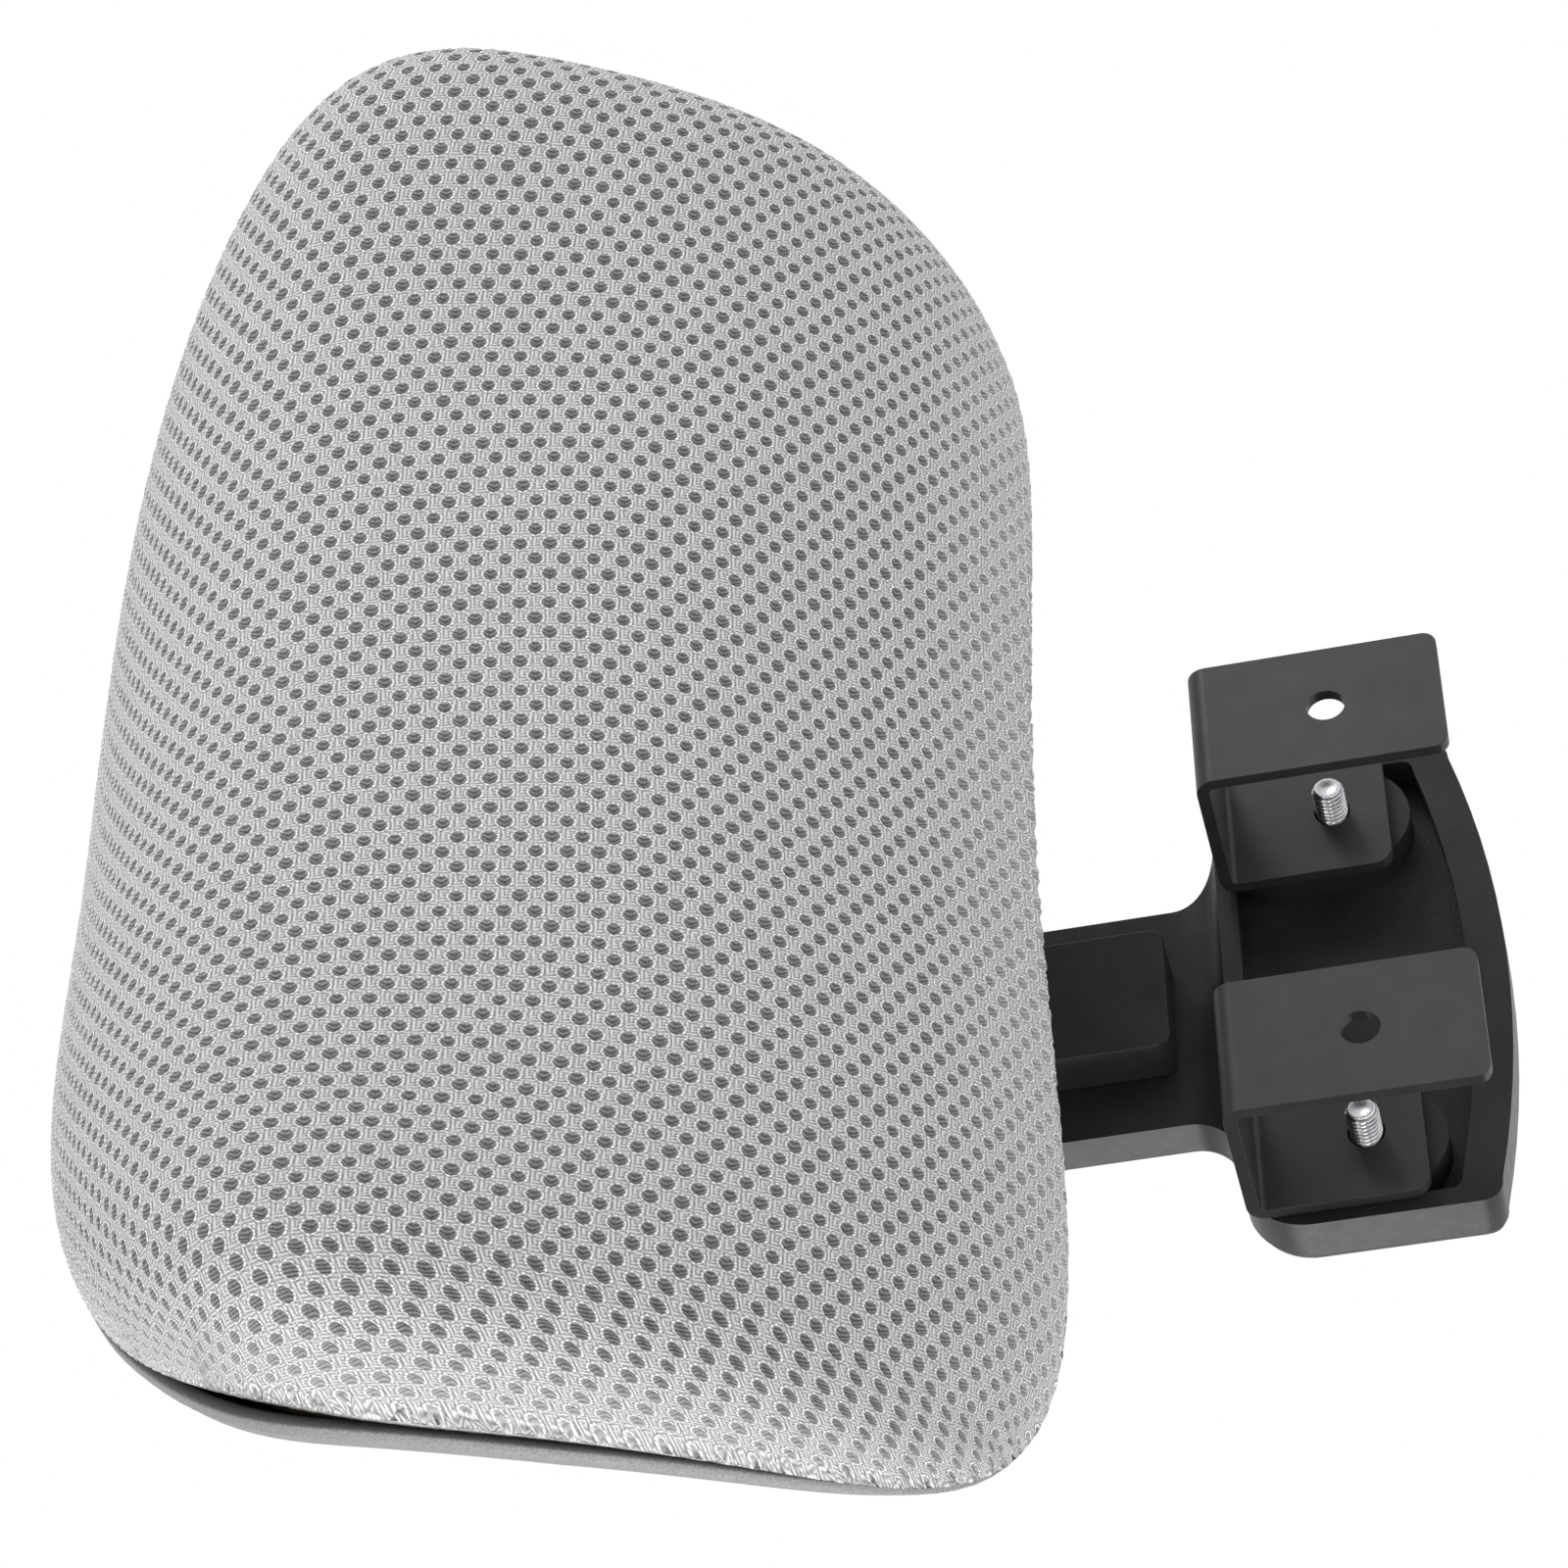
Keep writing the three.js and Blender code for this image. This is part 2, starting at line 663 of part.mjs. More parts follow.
addPart('slider_bar', sliderBar(), blackPlastic);
addPart('keeper_plate', keeperPlate(), zinc);
for (const [place, z] of [['lower', slideScrewZ[0]], ['upper', slideScrewZ[1]]]) {
  addPart(`${place}_slide_washer`, slideWasher(z), zinc);
  addPart(`${place}_slide_screw`, slideScrew(z), zinc);
}

addPart('hinge_pin', hingePin(), zinc);
addPart('hinge_nut', hingeNut(), zinc);
addPart('hinge_spring_washer', washerAlongX(springWasherX, washerThickness, 5.4), zinc);
addPart('left_friction_washer', washerAlongX(lugHalfWidth + gap, washerThickness, lugRadius - 0.5), nylon);
const rightWasherX = -lugHalfWidth - gap - washerThickness;
addPart('right_friction_washer', washerAlongX(rightWasherX, washerThickness, lugRadius - 0.5), nylon);

addPart('hinge_bracket', hingeBracket(), blackPaint);
hingeScrewPlaces().forEach(([x, z], i) => {
  addPart(`hinge_screw_${i + 1}`, hingeScrew(x, z), zinc);
});
addPart('back_shell', backShell(), greyPlastic);
addPart('support_board', supportBoard(), fibreboard);
addPart('foam_core', foamCore(), foam);
addPart('mesh_cover', meshCover(), meshFabric);

export default group;
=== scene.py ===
"""Looks for the clamp-on headrest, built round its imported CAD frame.

Metres, in the frame's own axes: +Z up, -Y towards the sitter's head, +X across the chair.
The pad's cushion, its mesh cover, its shell and the threaded screws are built here. The bracket, the
clips, the slider and the hinge are the CAD nodes themselves, with eased edges and finished materials.
"""

import json
import math

import bpy
import numpy as np
from mathutils import Matrix, Vector


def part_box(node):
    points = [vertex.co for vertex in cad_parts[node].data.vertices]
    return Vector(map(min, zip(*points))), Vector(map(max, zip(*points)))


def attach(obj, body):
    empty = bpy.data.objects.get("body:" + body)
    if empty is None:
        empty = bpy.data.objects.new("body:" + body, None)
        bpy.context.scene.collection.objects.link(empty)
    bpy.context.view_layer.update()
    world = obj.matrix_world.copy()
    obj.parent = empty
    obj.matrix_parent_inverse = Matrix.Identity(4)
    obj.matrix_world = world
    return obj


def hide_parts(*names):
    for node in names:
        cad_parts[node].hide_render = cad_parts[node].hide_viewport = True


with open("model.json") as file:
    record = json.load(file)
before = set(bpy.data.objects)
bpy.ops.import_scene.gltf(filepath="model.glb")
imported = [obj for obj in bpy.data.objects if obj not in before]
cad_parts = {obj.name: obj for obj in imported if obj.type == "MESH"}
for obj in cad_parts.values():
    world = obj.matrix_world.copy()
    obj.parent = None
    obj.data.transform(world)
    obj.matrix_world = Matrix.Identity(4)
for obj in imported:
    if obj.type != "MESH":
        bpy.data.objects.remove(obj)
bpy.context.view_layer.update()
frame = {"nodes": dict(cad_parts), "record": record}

MM = 0.001

# ---- the pad's shape, as in the CAD ----
PAD_HALF_WIDTH = 147.5 * MM
PAD_HALF_HEIGHT = 87.9 * MM
PAD_CENTRE_Z = 115.1 * MM
PAD_DROOP = 22.2 * MM
PAD_TAPER = 0.142
PAD_TOP_SQUARENESS = 3.3
PAD_BOTTOM_SQUARENESS = 4.4
PAD_CENTRE_Y = -37.3 * MM
WING_REACH = 55.4 * MM
WING_POWER = 1.96
RIM_BOW = 12.9 * MM
TOP_WING_REACH = 37.2 * MM
WING_STRAIGHTNESS = 29 * MM
DEPTH_MIDDLE = 79.2 * MM
DEPTH_WAIST = 26.5 * MM
DEPTH_WING = 24 * MM
FULLNESS_MIDDLE = 3.2
FULLNESS_END = 3.9
EDGE_SOFTNESS = 1.03
EDGE_SOFTNESS_END = 2.34
TOP_FULLNESS = 0.24
FACE_CROWN = 0.24
SHELL_BULGE = 10 * MM
SHELL_RIM = 3.5 * MM
SHELL_THICKNESS = 2.5 * MM
BOARD_THICKNESS = 3 * MM

# ---- the mesh cover ----
COLUMN_PITCH = 3.38 * MM  # from one column of holes to the next, across the chair
HOLE_PITCH = 5.0 * MM  # along a column
CLOTH_TURN = 0.055  # radians the columns lean to the right
HOLE_ACROSS = 1.52 * MM  # half sizes of a hole
HOLE_ALONG = 1.34 * MM
STRAND_DROP = 0.22 * MM  # the strands lie a little below the stitched rims of the holes
FLOOR_DROP = 1.3 * MM
HEM_GAP = 0.3 * MM  # between the cover's hem and the shell's lip
END_GAP = 1.7 * MM  # more of it at the ends, above their middles
HEM_FADE = 26 * MM  # height above the rim over which painted light brightens the floors of the holes
EDGE_RADIUS = 2.7 * MM  # where the cover turns under at the rim
TUCK_SCALE = 100 * MM  # length of path for one unit of share past the rim
TABLE_STEP = 0.5 * MM
PLACE_STEP = 0.005
PLACE_LIMIT = 0.93
ROW_LIMIT = 0.8  # rows and columns past these keep the run of the ones here
COLUMN_LIMIT = 0.91
LAYING_ROUNDS = 14
CLOTH_COLUMNS = 78  # to each side of the middle one
CLOTH_ROWS = 40
COVER_REACH = 1.065  # share at which the cover ends, tucked under past the rim
HEM_ROW_START = 0.9985  # share past which the last row's holes get smaller
HEM_HOLE_SIZE = 0.6
BODY_INSET = 3.2 * MM
SHELL_TUCK = 0.022  # share by which the cushion overhangs the shell along the bottom
SHELL_FLARE = 0.026  # share by which the shell reaches past the cushion at the ends

# ---- clamp screws, M6 ----
THREAD_MAJOR = 2.95 * MM
THREAD_DEPTH = 0.55 * MM
THREAD_PITCH = 1 * MM


# ---- node materials ----
def new_material(name):
    """A material with one Principled shader: returns the material, its node tree and the shader."""
    material = bpy.data.materials.new(name)
    material.use_nodes = True
    tree = material.node_tree
    return material, tree, tree.nodes["Principled BSDF"]


def add(tree, kind, inputs=None, **settings):
    """A new node with these settings; an input is a constant or another node's output socket."""
    node = tree.nodes.new("ShaderNode" + kind)
    for name, value in settings.items():
        setattr(node, name, value)
    for name, value in (inputs or {}).items():
        if isinstance(value, bpy.types.NodeSocket):
            tree.links.new(value, node.inputs[name])
        else:
            node.inputs[name].default_value = value
    return node


def math_node(tree, operation, *values, clamp=False):
    return add(tree, "Math", dict(enumerate(values)), operation=operation, use_clamp=clamp).outputs[0]


def position(tree):
    return add(tree, "TexCoord").outputs["Object"]


def noise(tree, scale, detail=3.0, roughness=0.5, vector=None):
    where = vector or position(tree)
    inputs = {"Vector": where, "Scale": scale, "Detail": detail, "Roughness": roughness}
    return add(tree, "TexNoise", inputs).outputs["Fac"]


def ramp(tree, factor, stops):
    """A colour ramp through (place, grey or colour) stops."""
    node = add(tree, "ValToRGB", {"Fac": factor})
    elements = node.color_ramp.elements
    while len(elements) < len(stops):
        elements.new(0.5)
    for element, (place, colour) in zip(elements, stops):
        element.position = place
        if not hasattr(colour, "__len__"):
            colour = (colour, colour, colour)
        element.color = (*colour, 1)
    return node.outputs["Color"]


def scaled(tree, value, low, high):
    """value from 0 to 1 stretched from low to high."""
    return add(tree, "MapRange", {"Value": value, "To Min": low, "To Max": high}).outputs["Result"]


def wave(tree, value, period, wander, turns):
    """A sine along value, shifted by the wandering noise."""
    shift = math_node(tree, "MULTIPLY", wander, turns)
    angle = math_node(tree, "MULTIPLY_ADD", value, 2 * math.pi / period, shift)
    return math_node(tree, "SINE", angle)


def step_between(tree, value, low, high):
    """0 below low and 1 above high."""
    return add(tree, "MapRange", {"Value": value, "From Min": low, "From Max": high}).outputs["Result"]


def blend(tree, factor, first, second, blend_type="MIX"):
    """The first colour where factor is 0, and the second mixed into it where factor is 1."""
    inputs = {"Factor": factor, "A": first, "B": second}
    return add(tree, "Mix", inputs, data_type="RGBA", blend_type=blend_type).outputs["Result"]


def bump(tree, shader, height, distance, strength=1.0):
    node = add(tree, "Bump", {"Height": height, "Distance": distance, "Strength": strength})
    tree.links.new(node.outputs["Normal"], shader.inputs["Normal"])


def moulded_plastic(name, dark, light, roughness, grain):
    """Moulded plastic with a fine spark-eroded grain and faint cloudiness."""
    material, tree, shader = new_material(name)
    cloud = noise(tree, 90, 4)
    tree.links.new(ramp(tree, cloud, [(0.3, dark), (0.7, light)]), shader.inputs["Base Color"])
    gloss = noise(tree, 420, 3)
    tree.links.new(scaled(tree, gloss, roughness - 0.07, roughness + 0.07), shader.inputs["Roughness"])
    shader.inputs["Specular IOR Level"].default_value = 0.16
    bump(tree, shader, noise(tree, 2600, 2), grain)
    return material


def painted_steel():
    """Satin black paint with a slight orange peel; the faces turned to ±X are duller and get painted
    shade, a darker base colour.
    """
    material, tree, shader = new_material("satin_black_paint")
    cloud = noise(tree, 140, 3)
    normal = add(tree, "SeparateXYZ", {"Vector": add(tree, "TexCoord").outputs["Normal"]})
    # faces turned to ±X: painted shade in the base colour, and a duller finish
    painted_shade_sides = step_between(tree, math_node(tree, "ABSOLUTE", normal.outputs["X"]), 0.8, 0.95)
    face_colour = ramp(tree, cloud, [(0.3, 0.022), (0.7, 0.029)])
    painted_shade_side_colour = ramp(tree, cloud, [(0.3, 0.005), (0.7, 0.009)])
    tree.links.new(blend(tree, painted_shade_sides, face_colour, painted_shade_side_colour), shader.inputs["Base Color"])
    peel = noise(tree, 900, 2)
    roughness = math_node(tree, "MAXIMUM", scaled(tree, peel, 0.38, 0.48), scaled(tree, painted_shade_sides, 0, 0.95))
    tree.links.new(roughness, shader.inputs["Roughness"])
    shader.inputs["Specular IOR Level"].default_value = 0.25
    bump(tree, shader, peel, 0.03 * MM)
    return material


def zinc_plate():
    """Bright zinc with faint blotches, fine marks and painted shade darkening the thread roots (the root
    map).
    """
    material, tree, shader = new_material("bright_zinc")
    blotch = noise(tree, 380, 4)
    colours = [(0.3, (0.42, 0.43, 0.45)), (0.7, (0.6, 0.61, 0.62))]
    root = add(tree, "UVMap", uv_map="root").outputs["UV"]
    depth = add(tree, "SeparateXYZ", {"Vector": root}).outputs["X"]
    # painted shade: the colour darkens from the thread's crest down into its root
    shade = ramp(tree, depth, [(0.0, 1.0), (0.5, 0.5), (1.0, 0.08)])
    colour = blend(tree, 1.0, ramp(tree, blotch, colours), shade, "MULTIPLY")
    tree.links.new(colour, shader.inputs["Base Color"])
    shader.inputs["Metallic"].default_value = 1
    tree.links.new(scaled(tree, noise(tree, 2400, 2), 0.18, 0.36), shader.inputs["Roughness"])
    bump(tree, shader, noise(tree, 3200, 2), 0.02 * MM)
    return material


def grey_shell_plastic():
    """Mid-grey plastic with a speckled texture."""
    material, tree, shader = new_material("speckled_grey_plastic")
    speckle = noise(tree, 2100, 3, 0.7)
    tree.links.new(ramp(tree, speckle, [(0.36, 0.1), (0.6, 0.18)]), shader.inputs["Base Color"])
    tree.links.new(scaled(tree, noise(tree, 600, 2), 0.5, 0.66), shader.inputs["Roughness"])
    bump(tree, shader, noise(tree, 1500, 3, 0.6), 0.1 * MM)
    return material


def nylon():
    material, tree, shader = new_material("natural_nylon")
    cloud = noise(tree, 300, 3)
    colours = [(0.3, (0.72, 0.71, 0.66)), (0.7, (0.8, 0.79, 0.75))]
    tree.links.new(ramp(tree, cloud, colours), shader.inputs["Base Color"])
    tree.links.new(scaled(tree, cloud, 0.42, 0.52), shader.inputs["Roughness"])
    return material


def fibreboard():
    material, tree, shader = new_material("raw_fibreboard")
    fibre = noise(tree, 700, 6, 0.65)
    colours = [(0.3, (0.2, 0.13, 0.08)), (0.7, (0.36, 0.26, 0.17))]
    tree.links.new(ramp(tree, fibre, colours), shader.inputs["Base Color"])
    shader.inputs["Roughness"].default_value = 0.85
    bump(tree, shader, fibre, 0.1 * MM)
    return material


def mesh_fabric():
    """Knitted spacer mesh: plaited strands round each hole and darker yarns on its floor, with a painted
    highlight on each hole's rim, painted shade just outside it and painted light on the floors near the
    hem. The ring map gives the angle round the hole, and the distance from its middle (0) through its
    edge (0.5) to the strand's crest (1). The weave map gives the place on the cloth in millimetres, and
    the hem map 1 at the hem and 0 away from it."""
    material, tree, shader = new_material("knitted_spacer_mesh")
    ring = add(tree, "UVMap", uv_map="ring").outputs["UV"]
    weave = add(tree, "UVMap", uv_map="weave").outputs["UV"]
    ring_parts = add(tree, "SeparateXYZ", {"Vector": ring})
    weave_parts = add(tree, "SeparateXYZ", {"Vector": weave})
    angle, out = ring_parts.outputs["X"], ring_parts.outputs["Y"]
    right, upward = weave_parts.outputs["X"], weave_parts.outputs["Y"]
    fuzz = noise(tree, 5.5, 4, 0.7, vector=weave)
    wander = noise(tree, 0.9, 3, 0.6, vector=weave)

    # short threads lie across the strand in some patches and along it in the others
    across_threads = wave(tree, right, 0.66, wander, 5)
    along_threads = wave(tree, upward, 0.74, wander, 5)
    patches_right = wave(tree, right, COLUMN_PITCH / MM, fuzz, 0.4)
    patches_up = wave(tree, upward, HOLE_PITCH / 2 / MM, fuzz, 0.4)
    patch = math_node(tree, "ADD", patches_right, patches_up)
    thread = blend(tree, step_between(tree, patch, -0.4, 0.4), across_threads, along_threads)
    relief = math_node(tree, "MULTIPLY_ADD", thread, 0.2, fuzz)
    strand_colour = ramp(tree, relief, [(0.2, 0.15), (0.42, 0.37), (0.6, 0.5), (0.78, 0.78)])

    # each hole's stitched rim is painted bright, a painted highlight, with painted shade in a dark ring
    # outside it
    stitch = wave(tree, angle, 1 / 11, fuzz, 3)
    rim_value = math_node(tree, "MULTIPLY_ADD", stitch, 0.22, fuzz)
    rim_highlight_colour = ramp(tree, rim_value, [(0.25, 0.36), (0.5, 0.72), (0.7, 0.92)])

    # the floor's yarns run along the column, and the floor near the hem gets painted light
    yarn = wave(tree, right, 0.62, fuzz, 2)
    floor_value = math_node(tree, "MULTIPLY_ADD", yarn, 0.12, fuzz)
    inner_floor = ramp(tree, floor_value, [(0.25, 0.025), (0.5, 0.14), (0.75, 0.44)])
    hem_floor_painted_light = ramp(tree, floor_value, [(0.25, 0.14), (0.5, 0.36), (0.75, 0.6)])
    hem = add(tree, "UVMap", uv_map="hem").outputs["UV"]
    near_hem = add(tree, "SeparateXYZ", {"Vector": hem}).outputs["X"]
    floor_colour = blend(tree, near_hem, inner_floor, hem_floor_painted_light)

    edge = math_node(tree, "MULTIPLY_ADD", fuzz, 0.14, out)
    colour = blend(tree, step_between(tree, edge, 0.5, 0.6), floor_colour, rim_highlight_colour)
    # painted shade: a darker ring on the strand just outside each hole's rim
    crease_shade = ramp(tree, edge, [(0.64, 1.0), (0.74, 0.5), (0.86, 1.0)])
    strands = blend(tree, 1.0, strand_colour, crease_shade, "MULTIPLY")
    colour = blend(tree, step_between(tree, edge, 0.66, 0.73), colour, strands)
    tree.links.new(colour, shader.inputs["Base Color"])
    shader.inputs["Roughness"].default_value = 0.85
    shader.inputs["Sheen Weight"].default_value = 0.1
    shader.inputs["Specular IOR Level"].default_value = 0.2
    bump(tree, shader, relief, 0.25 * MM)
    return material


def underlay_painted_shade():
    """The felt and foam under the cover, coloured near black: painted shade for the gap between the cover
    and the shell, where it shows.
    """
    material, tree, shader = new_material("underlay_in_painted_shade")
    fibre = noise(tree, 1400, 4, 0.7)
    # near-black base colour: painted shade for the gap where the body shows
    tree.links.new(ramp(tree, fibre, [(0.3, 0.03), (0.7, 0.075)]), shader.inputs["Base Color"])
    shader.inputs["Roughness"].default_value = 0.95
    bump(tree, shader, fibre, 0.2 * MM)
    return material


LOOKS = {
    "black_plastic": moulded_plastic("black_moulded_plastic", 0.012, 0.018, 0.36, 0.05 * MM),
    "black_steel": painted_steel(),
    "zinc_steel": zinc_plate(),
    "white_nylon": nylon(),
    "grey_plastic": grey_shell_plastic(),
    "fibreboard": fibreboard(),
    "foam": underlay_painted_shade(),
    "mesh_fabric": mesh_fabric(),
}


# ---- the pad's surfaces ----
def mix(low, high, share):
    return low + (high - low) * share


def share_of(across, up):
    """0 in the middle of the pad and 1 on its outline, for places given as shares of its half sizes."""
    slope = up / np.maximum(np.hypot(across, up), 1e-9)
    squareness = mix(PAD_BOTTOM_SQUARENESS, PAD_TOP_SQUARENESS, 0.5 + 0.5 * np.tanh(4 * slope))
    return (np.abs(across) ** squareness + np.abs(up) ** squareness) ** (1 / squareness)


def rim_point(across, up):
    """The point of the rim's curved plane at this place: x, y and z."""
    out = np.abs(across)
    x = PAD_HALF_WIDTH * across
    z = PAD_CENTRE_Z - PAD_DROOP * out**2 + PAD_HALF_HEIGHT * (1 - PAD_TAPER * out**2) * up
    bow = RIM_BOW * up**2 + (TOP_WING_REACH * up - WING_STRAIGHTNESS * up**2) * out**2
    return x, PAD_CENTRE_Y - WING_REACH * out**WING_POWER - bow, z


def upper_end(edge_across, edge_up):
    """1 on the upper part of the outline's two ends, fading to 0 away from there."""
    near_end = np.clip((np.abs(edge_across) - 0.8) / 0.17, 0, 1)
    return near_end * np.exp(-(((edge_up - 0.65) / 0.2) ** 2))


def cushion_point(across, up, less=0.0):
    """A point of the cushion's front, drawn in by less; past the outline it turns under the edge."""
    share = np.maximum(share_of(across, up), 1e-9)
    inside = np.minimum(share, 1)
    edge_across, edge_up = across / share, up / share
    past = np.maximum(share - 1, 0) * TUCK_SCALE
    turn = np.minimum(past / EDGE_RADIUS, math.pi / 2)
    inset = EDGE_RADIUS * (1 - np.cos(turn)) + np.maximum(past - EDGE_RADIUS * math.pi / 2, 0) + less
    half = np.maximum(np.hypot(PAD_HALF_WIDTH * edge_across, PAD_HALF_HEIGHT * edge_up), MM)
    keep = inside * (1 - inset / half * inside**6)
    a, b = edge_across * keep, edge_up * keep
    x, y, z = rim_point(a, b)
    out = np.abs(a)
    fullness = mix(FULLNESS_MIDDLE, FULLNESS_END, out**2)
    crown = (1 - inside**fullness) ** (1 / mix(EDGE_SOFTNESS, EDGE_SOFTNESS_END, out**2))
    lean = 1 + TOP_FULLNESS * b - FACE_CROWN * b**2
    depth = (DEPTH_MIDDLE - DEPTH_WAIST * out**2 + DEPTH_WING * out**4) * lean
    hem = HEM_GAP + END_GAP * upper_end(edge_across, edge_up)
    wall = EDGE_RADIUS * np.cos(turn) + hem
    y = y - wall - (depth - wall - less) * crown
    return np.stack([x, y, z], axis=-1)


def shell_depth(share):
    return SHELL_RIM + SHELL_BULGE * np.sqrt(np.maximum(1 - share**4, 0))


def grid_places():
    return np.arange(-PLACE_LIMIT, PLACE_LIMIT, PLACE_STEP)


def length_table(half_length, section, start):
    """For each line of places across the pad, the place reached after each length along the cushion.
    A line is given by its section, a function of the place along it, and lengths count from its start."""
    tuck = np.linspace(0, 0.12, 41)[1:]
    swing = np.sin(np.linspace(0, 1, 201) * math.pi / 2)
    tries = np.linspace(0, 1, 1001)
    lengths = np.arange(-half_length, half_length, TABLE_STEP)
    table = []
    for fixed in grid_places():
        low = tries[share_of(*section(-tries, fixed)) <= 1].max(initial=0)
        high = tries[share_of(*section(tries, fixed)) <= 1].max(initial=0)
        line = np.concatenate([-low - tuck[::-1], -low * swing[::-1], high * swing[1:], high + tuck])
        points = cushion_point(*section(line, fixed))
        along = np.concatenate([[0], np.cumsum(np.linalg.norm(np.diff(points, axis=0), axis=1))])
        along -= np.interp(start(fixed), line, along)
        table.append(np.interp(lengths, along, line))
    return np.array(table), half_length


def level_place(across):
    """How far up its column the cloth's middle row lies: the cloth is laid a little crooked, level over
    the right end and along the pad's droop over the left one."""
    right_end = min(across, 0)
    return PAD_DROOP * right_end**2 / (PAD_HALF_HEIGHT * (1 - PAD_TAPER * right_end**2))


def look_up(table, place, length):
    """The table's value for these places and lengths, between its four nearest entries."""
    values, half_length = table
    i = np.clip((place - grid_places()[0]) / PLACE_STEP, 0, values.shape[0] - 1.001)
    j = np.clip((length + half_length) / TABLE_STEP, 0, values.shape[1] - 1.001)
    i0, j0 = i.astype(int), j.astype(int)
    fi, fj = i - i0, j - j0
    low = values[i0, j0] * (1 - fj) + values[i0, j0 + 1] * fj
    high = values[i0 + 1, j0] * (1 - fj) + values[i0 + 1, j0 + 1] * fj
    return low * (1 - fi) + high * fi


def laid_on_cushion(flat):
    """Where places on the flat cloth lie on the pad, keeping their lengths along its rows and columns."""
    rows = length_table(300 * MM, lambda line, up: (line, np.full_like(line, up)), lambda up: 0)
    columns = length_table(220 * MM, lambda line, across: (np.full_like(line, across), line), level_place)
    c, s = math.cos(CLOTH_TURN), math.sin(CLOTH_TURN)
    right = flat[:, 0] * c - flat[:, 1] * s
    upward = flat[:, 0] * s + flat[:, 1] * c
    across = look_up(rows, np.zeros(len(flat)), right)

    # half steps settle where the cushion is steep and whole ones would swing
    for _ in range(LAYING_ROUNDS):
        up = look_up(columns, np.clip(across, -COLUMN_LIMIT, COLUMN_LIMIT), upward)
        across = mix(across, look_up(rows, np.clip(up, -ROW_LIMIT, ROW_LIMIT), right), 0.5)
    return across, up


def cushion_normal(across, up):
    """The direction straight out of the cushion's face."""
    step = 0.003
    along = cushion_point(across + step, up) - cushion_point(across - step, up)
    over = cushion_point(across, up + step) - cushion_point(across, up - step)
    normal = np.cross(along, over)
    return normal / np.maximum(np.linalg.norm(normal, axis=-1, keepdims=True), 1e-12)


def cell_outline():
    """Twelve places round one cell of the net, from its middle: the cell is a six-sided honeycomb cell."""
    half = HOLE_PITCH / 2
    reach = (COLUMN_PITCH**2 + half**2) / (2 * COLUMN_PITCH)
    short = 2 * (reach - half**2 / (2 * COLUMN_PITCH)) - reach
    corners = [(reach, 0), (short, half), (-short, half), (-reach, 0), (-short, -half), (short, -half)]
    outline = []
    for (s0, t0), (s1, t1) in zip(corners, corners[1:] + corners[:1]):
        outline += [(s0, t0), ((s0 + s1) / 2, (t0 + t1) / 2)]
    return np.array(outline)


def cell_middles():
    """The middles of the cells on the cushion and just past its edge, with their shares."""
    middles = []
    for i in range(-CLOTH_COLUMNS, CLOTH_COLUMNS + 1):
        for j in range(-CLOTH_ROWS, CLOTH_ROWS + 1):
            middles.append((i * COLUMN_PITCH, (j + 0.5 * (i % 2)) * HOLE_PITCH))
    middles = np.array(middles)
    share = share_of(*laid_on_cushion(middles))
    kept = share < COVER_REACH
    return middles[kept], share[kept]


def mesh_object(name, points, faces, material):
    mesh = bpy.data.meshes.new(name)
    mesh.from_pydata([tuple(p) for p in points], [], [tuple(int(i) for i in f) for f in faces])
    mesh.materials.append(material)
    mesh.shade_smooth()
    piece = bpy.data.objects.new(name, mesh)
    bpy.context.scene.collection.objects.link(piece)
    return piece


def point_of_each_corner(piece):
    corners = np.zeros(len(piece.data.loops), np.int32)
    piece.data.loops.foreach_get("vertex_index", corners)
    return corners


def add_map(piece, name, values):
    """A UV map with a pair of values for each face corner."""
    piece.data.uv_layers.new(name=name).data.foreach_set("uv", values.astype(np.float32).ravel())


